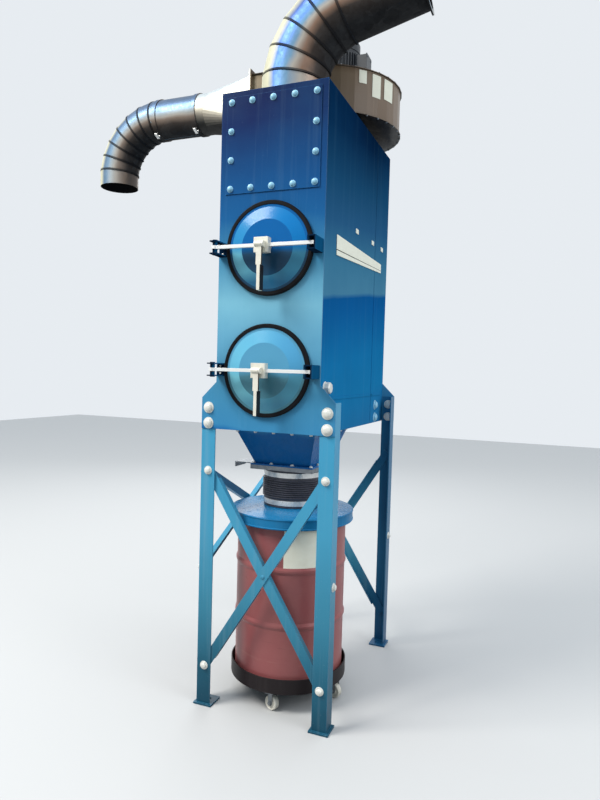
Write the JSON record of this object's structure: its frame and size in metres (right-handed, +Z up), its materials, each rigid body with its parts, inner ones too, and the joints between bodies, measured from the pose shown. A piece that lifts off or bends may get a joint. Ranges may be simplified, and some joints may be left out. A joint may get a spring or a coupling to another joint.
{
  "type": "cartridge dust collector",
  "caption": "Cartridge dust collector on angle-steel legs, with round clamped filter covers, a top fan, ducts, and a hopper that drops dust into a drum on a dolly.",
  "frame": {"origin": "on the floor, at the centre of the anchor bolts in the feet", "axes": "+X to the right as seen from the front, +Y from the covers towards the back, +Z up"},
  "size_m": [2.1149, 1.4433, 3.7664],
  "materials": {
    "blue_paint": "glossy blue enamel",
    "duct_zinc": "galvanised sheet, spangled",
    "bright_steel": "bright zinc plate",
    "pale_casting": "pale zinc casting, satin",
    "dull_zinc": "dull zinc plate",
    "tan_paint": "satin tan enamel",
    "gray_paint": "satin dark gray enamel",
    "red_paint": "weathered red enamel",
    "black_paint": "satin black enamel",
    "gasket_rubber": "black rubber",
    "hose_rubber": "black ribbed rubber",
    "filter_media": "pale filter paper",
    "wheel_plastic": "cream nylon"
  },
  "bodies": {
    "stand": {"front_sheet": "blue_paint", "back_sheet": "blue_paint", "left_side_sheet": "blue_paint", "right_side_sheet": "blue_paint", "top_sheet": "blue_paint", "floor_pan": "blue_paint", "tube_sheet": "blue_paint", "cartridges": "filter_media", "inlet_panel": "blue_paint", "back_panel": "blue_paint", "yoke_brackets": "blue_paint", "cover_gaskets": "gasket_rubber", "hopper": "blue_paint", "gate_frame": "dull_zinc", "hose": "hose_rubber", "hose_clamps": "bright_steel", "drum_lid": "blue_paint", "drum": "red_paint", "dolly": "black_paint", "front_right_leg": "blue_paint", "front_left_leg": "blue_paint", "back_right_leg": "blue_paint", "back_left_leg": "blue_paint", "front_rising_brace": "blue_paint", "front_falling_brace": "blue_paint", "back_rising_brace": "blue_paint", "back_falling_brace": "blue_paint", "left_rising_brace": "blue_paint", "left_falling_brace": "blue_paint", "inlet_elbow": "duct_zinc", "fan_housing": "tan_paint", "fan_motor": "gray_paint", "outlet_transition": "duct_zinc", "exhaust_pipe": "duct_zinc", "exhaust_elbow": "duct_zinc", "air_header": "blue_paint"},
    "upper_door": {"upper_cover": "blue_paint", "upper_yoke": "bright_steel", "upper_clamp": "pale_casting"},
    "upper_handle": {"upper_lever": "pale_casting"},
    "lower_door": {"lower_cover": "blue_paint", "lower_yoke": "bright_steel", "lower_clamp": "pale_casting"},
    "lower_handle": {"lower_lever": "pale_casting"},
    "blade": {"gate_blade": "dull_zinc"},
    "front_fork": {"front_caster_fork": "dull_zinc"},
    "front_wheel": {"front_caster_wheel": "wheel_plastic"},
    "right_fork": {"right_caster_fork": "dull_zinc"},
    "right_wheel": {"right_caster_wheel": "wheel_plastic"},
    "back_fork": {"back_caster_fork": "dull_zinc"},
    "back_wheel": {"back_caster_wheel": "wheel_plastic"},
    "left_fork": {"left_caster_fork": "dull_zinc"},
    "left_wheel": {"left_caster_wheel": "wheel_plastic"}
  },
  "joints": [
    {"name": "upper_cover_swing", "type": "hinge", "parent": "stand", "child": "upper_door", "pos_m": [-0.25, -0.66, 2.298], "axis": [0, 0, -1], "range_deg": [0, 105]},
    {"name": "upper_lever_turn", "type": "hinge", "parent": "upper_door", "child": "upper_handle", "pos_m": [0, -0.6923, 2.298], "axis": [-1, 0, 0], "range_deg": [0, 100]},
    {"name": "lower_cover_swing", "type": "hinge", "parent": "stand", "child": "lower_door", "pos_m": [-0.25, -0.66, 1.716], "axis": [0, 0, -1], "range_deg": [0, 105]},
    {"name": "lower_lever_turn", "type": "hinge", "parent": "lower_door", "child": "lower_handle", "pos_m": [0, -0.6923, 1.716], "axis": [-1, 0, 0], "range_deg": [0, 100]},
    {"name": "gate_slide", "type": "slide", "parent": "stand", "child": "blade", "axis": [-1, 0, 0], "range_m": [0, 0.29]},
    {"name": "front_caster_swivel", "type": "hinge", "parent": "stand", "child": "front_fork", "pos_m": [0, -0.455, 0.06], "axis": [0, 0, 1], "continuous": true},
    {"name": "front_caster_roll", "type": "hinge", "parent": "front_fork", "child": "front_wheel", "pos_m": [0.02378, -0.46272, 0.0373], "axis": [0.309, 0.9511, 0], "continuous": true},
    {"name": "right_caster_swivel", "type": "hinge", "parent": "stand", "child": "right_fork", "pos_m": [0.25, -0.205, 0.06], "axis": [0, 0, 1], "continuous": true},
    {"name": "right_caster_roll", "type": "hinge", "parent": "right_fork", "child": "right_wheel", "pos_m": [0.27378, -0.21272, 0.0373], "axis": [0.309, 0.9511, 0], "continuous": true},
    {"name": "back_caster_swivel", "type": "hinge", "parent": "stand", "child": "back_fork", "pos_m": [0, 0.045, 0.06], "axis": [0, 0, 1], "continuous": true},
    {"name": "back_caster_roll", "type": "hinge", "parent": "back_fork", "child": "back_wheel", "pos_m": [0.02378, 0.03728, 0.0373], "axis": [0.309, 0.9511, 0], "continuous": true},
    {"name": "left_caster_swivel", "type": "hinge", "parent": "stand", "child": "left_fork", "pos_m": [-0.25, -0.205, 0.06], "axis": [0, 0, 1], "continuous": true},
    {"name": "left_caster_roll", "type": "hinge", "parent": "left_fork", "child": "left_wheel", "pos_m": [-0.22622, -0.21272, 0.0373], "axis": [0.309, 0.9511, 0], "continuous": true}
  ]
}
